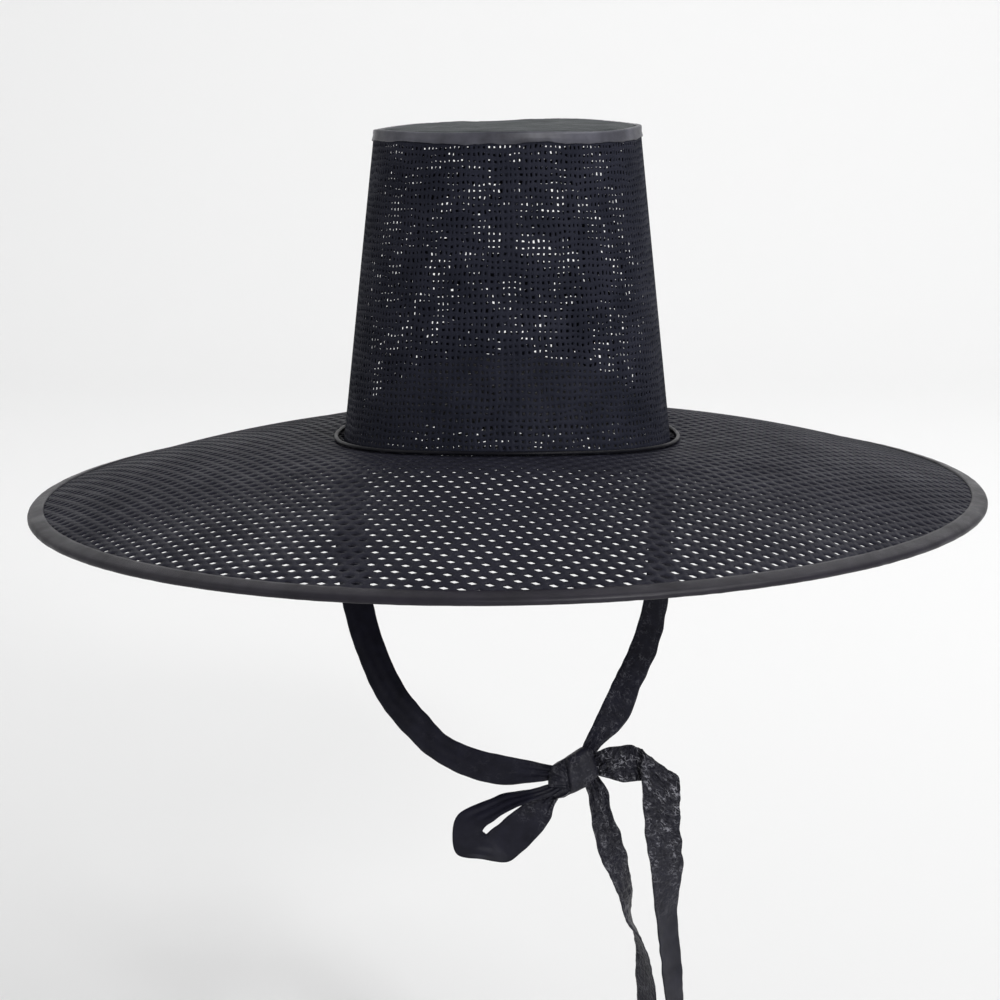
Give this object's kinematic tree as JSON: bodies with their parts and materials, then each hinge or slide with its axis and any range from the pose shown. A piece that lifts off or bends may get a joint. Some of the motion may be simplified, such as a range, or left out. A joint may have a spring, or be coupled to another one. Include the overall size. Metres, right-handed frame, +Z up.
{
  "type": "korean gat",
  "caption": "Wide-brimmed hat of black net with a tall tapering crown, bound edges and a ribbon chin strap tied in a half bow.",
  "frame": {"origin": "on the crown's axis, in the plane of the ring at the foot of the crown, where the hat sits on the head", "axes": "+Z up along the crown's axis, -Y towards the front, +X to the right as seen from the front"},
  "size_m": [0.48, 0.48, 0.43],
  "materials": {
    "crown_net": "stiffened black square net",
    "top_cloth": "thin black cloth with a grey sheen",
    "binding_satin": "black satin bias tape",
    "cap_net": "soft black net",
    "ring_gloss": "glossy black",
    "brim_net": "stiffened black hexagonal net",
    "ribbon_cloth": "black ribbon with a faint sheen"
  },
  "bodies": {
    "root": {"crown_wall": "crown_net", "crown_top": "top_cloth", "crown_top_binding": "binding_satin", "inner_cap": "cap_net", "junction_ring": "ring_gloss", "brim": "brim_net", "brim_binding": "binding_satin", "strap_left": "ribbon_cloth", "strap_right": "ribbon_cloth", "strap_knot": "ribbon_cloth", "bow_loop": "ribbon_cloth", "bow_tail": "ribbon_cloth", "strap_tail": "ribbon_cloth"}
  },
  "joints": []
}
